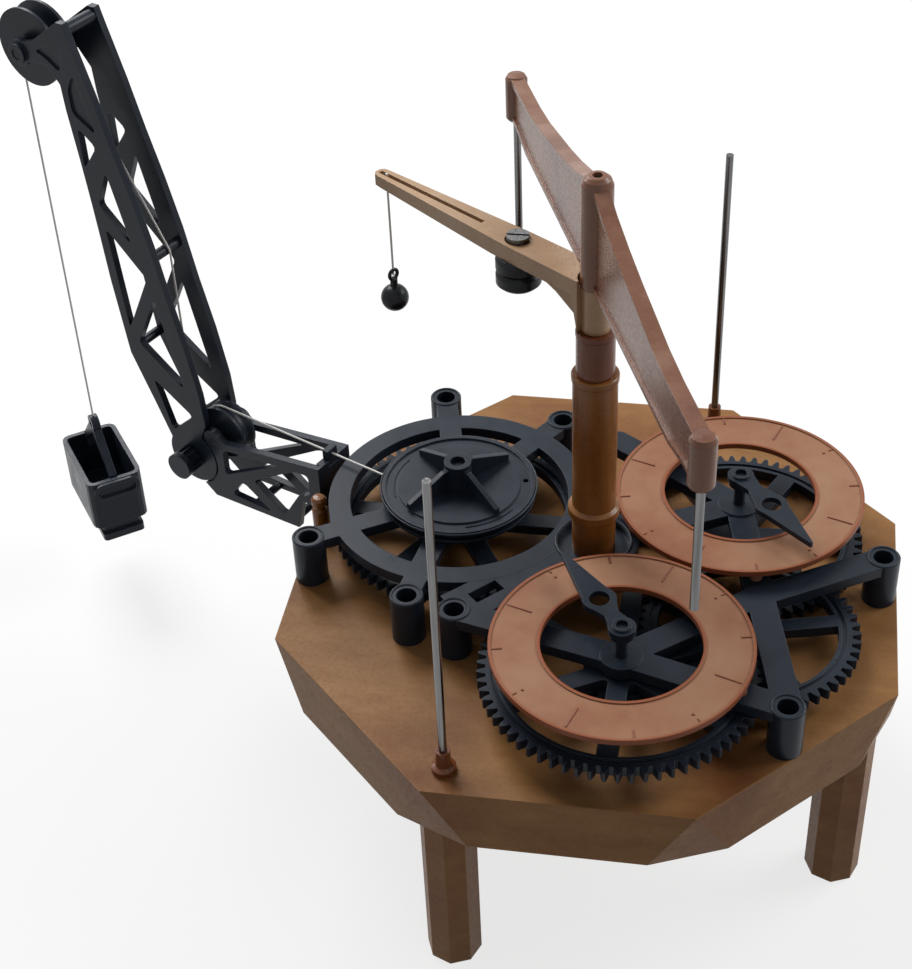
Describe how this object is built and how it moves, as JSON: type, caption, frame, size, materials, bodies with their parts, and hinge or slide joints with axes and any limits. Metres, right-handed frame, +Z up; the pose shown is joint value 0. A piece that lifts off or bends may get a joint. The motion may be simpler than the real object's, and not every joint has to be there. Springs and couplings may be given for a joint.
{
  "type": "flying pendulum clock",
  "caption": "Eight-sided deck on legs with a geared clock, a rotating arm that flings a ball on a thread, two dial rings and a small crane with a hanging bucket as driving weight.",
  "frame": {"origin": "on the surface the feet stand on, under the middle of the whole object's box", "axes": "+Z up; the crane points towards -X and a little +Y; the dials are on the -Y and +X sides of the column"},
  "size_m": [0.2525, 0.1609, 0.1958],
  "materials": {
    "grey_plastic": "satin",
    "bright_steel": "satin",
    "thread": "matte",
    "deck_board": "satin, mottled",
    "column_tan": "glossy",
    "column_rose": "glossy",
    "dial_copper": "satin",
    "black_weight": "satin"
  },
  "bodies": {
    "base": {"deck": "deck_board", "leg_front": "deck_board", "leg_left": "deck_board", "leg_rear": "deck_board", "leg_right": "deck_board", "drum_plate": "grey_plastic", "main_plate": "grey_plastic", "plate_screws": "bright_steel", "column_lower": "column_tan", "column_upper": "column_rose", "dial_minute": "dial_copper", "dial_hour": "dial_copper", "pole_front": "bright_steel", "pole_rear": "bright_steel", "ferrule_front": "column_tan", "ferrule_rear": "column_tan", "rim_peg": "column_tan", "lower_boom_near": "grey_plastic", "lower_boom_far": "grey_plastic", "thread_guide": "grey_plastic", "drum_thread": "thread", "elbow_axle": "bright_steel", "elbow_bolt": "bright_steel", "intermediate_pin": "bright_steel"},
    "rotor": {"spindle": "bright_steel", "centre_pinion_low": "grey_plastic", "centre_pinion_high": "grey_plastic", "ball_arm": "column_tan", "weight_upper": "black_weight", "weight_lower": "black_weight", "weight_screw": "bright_steel", "bridge": "column_rose", "rod_front": "bright_steel", "rod_rear": "bright_steel"},
    "ball": {"flying_ball": "black_weight", "ball_thread": "thread"},
    "drum": {"great_wheel": "grey_plastic", "winding_drum": "grey_plastic", "winder": "grey_plastic", "drum_arbor": "bright_steel"},
    "minute_shaft": {"minute_arbor": "bright_steel", "minute_wheel": "grey_plastic", "minute_pinion": "grey_plastic"},
    "minute_pointer": {"minute_hand": "grey_plastic"},
    "intermediate": {"intermediate_wheel": "grey_plastic", "intermediate_pinion": "grey_plastic"},
    "hour_shaft": {"hour_arbor": "bright_steel", "hour_wheel": "grey_plastic"},
    "hour_pointer": {"hour_hand": "grey_plastic"},
    "upper_boom": {"upper_boom_near": "grey_plastic", "upper_boom_far": "grey_plastic", "tip_axle": "bright_steel", "boom_thread": "thread"},
    "elbow_sheave": {"elbow_pulley": "grey_plastic"},
    "roller": {"elbow_roller": "grey_plastic"},
    "knob": {"elbow_knob": "grey_plastic"},
    "tip_sheave": {"tip_pulley": "grey_plastic"},
    "line": {"hanging_thread": "thread"},
    "load": {"bucket": "grey_plastic", "bucket_bail": "grey_plastic"}
  },
  "joints": [
    {"name": "drum_turn", "type": "hinge", "parent": "base", "child": "drum", "pos_m": [0.01148, 0.01114, 0.081], "axis": [0, 0, 1], "range_deg": [-170, 950]},
    {"name": "rotor_turn", "type": "hinge", "parent": "base", "child": "rotor", "pos_m": [0.04888, -0.00307, 0.129], "axis": [0, 0, 1], "range_deg": [-4480.6, 803.4]},
    {"name": "minute_shaft_turn", "type": "hinge", "parent": "base", "child": "minute_shaft", "pos_m": [0.06002, -0.04408, 0.081], "axis": [0, 0, 1], "range_deg": [-202.4, 1121.6]},
    {"name": "intermediate_turn", "type": "hinge", "parent": "base", "child": "intermediate", "pos_m": [0.0895, -0.02341, 0.073], "axis": [0, 0, 1], "range_deg": [-375.2, 68.8]},
    {"name": "hour_shaft_turn", "type": "hinge", "parent": "base", "child": "hour_shaft", "pos_m": [0.08498, 0.01633, 0.081], "axis": [0, 0, 1], "range_deg": [-18.7, 95.3]},
    {"name": "minute_hand_set", "type": "hinge", "parent": "minute_shaft", "child": "minute_pointer", "pos_m": [0.06002, -0.04408, 0.0915], "axis": [0, 0, 1], "continuous": true},
    {"name": "hour_hand_set", "type": "hinge", "parent": "hour_shaft", "child": "hour_pointer", "pos_m": [0.08498, 0.01633, 0.0915], "axis": [0, 0, 1], "continuous": true},
    {"name": "ball_swing", "type": "hinge", "parent": "rotor", "child": "ball", "pos_m": [-0.00853, 0.03803, 0.162], "axis": [-0.5821, -0.8131, 0], "range_deg": [-40, 40]},
    {"name": "boom_fold", "type": "hinge", "parent": "base", "child": "upper_boom", "pos_m": [-0.0677, 0.04306, 0.068], "axis": [-0.4384, -0.8988, 0], "range_deg": [0, 20]},
    {"name": "elbow_pulley_turn", "type": "hinge", "parent": "base", "child": "elbow_sheave", "pos_m": [-0.06015, 0.03937, 0.077], "axis": [-0.4384, -0.8988, 0], "range_deg": [-772.3, 139.8]},
    {"name": "elbow_roller_turn", "type": "hinge", "parent": "base", "child": "roller", "pos_m": [-0.0677, 0.04306, 0.068], "axis": [-0.4384, -0.8988, 0], "range_deg": [-270.4, 1502]},
    {"name": "elbow_knob_turn", "type": "hinge", "parent": "base", "child": "knob", "pos_m": [-0.07198, 0.03429, 0.068], "axis": [-0.4384, -0.8988, 0], "continuous": true},
    {"name": "tip_pulley_turn", "type": "hinge", "parent": "upper_boom", "child": "tip_sheave", "pos_m": [-0.105, 0.06125, 0.1834], "axis": [-0.4384, -0.8988, 0], "range_deg": [-788.2, 142.7]},
    {"name": "bucket_swing", "type": "hinge", "parent": "upper_boom", "child": "line", "pos_m": [-0.11152, 0.06442, 0.1834], "axis": [-0.4384, -0.8988, 0], "range_deg": [-12, 5]},
    {"name": "bucket_travel", "type": "slide", "parent": "line", "child": "load", "axis": [0, 0, 1], "range_m": [-0.018, 0.1], "deforming": ["hanging_thread"]}
  ],
  "couplings": [
    {"joint": "rotor_turn", "follows": "drum_turn", "ratio": -4.7143},
    {"joint": "minute_shaft_turn", "follows": "drum_turn", "ratio": 1.1786},
    {"joint": "intermediate_turn", "follows": "drum_turn", "ratio": -0.39286},
    {"joint": "hour_shaft_turn", "follows": "drum_turn", "ratio": 0.098214},
    {"joint": "elbow_pulley_turn", "follows": "drum_turn", "ratio": -0.81081},
    {"joint": "elbow_roller_turn", "follows": "drum_turn", "ratio": 1.5789},
    {"joint": "tip_pulley_turn", "follows": "drum_turn", "ratio": -0.82759},
    {"joint": "bucket_travel", "follows": "drum_turn", "m_per_rad": 0.006}
  ]
}
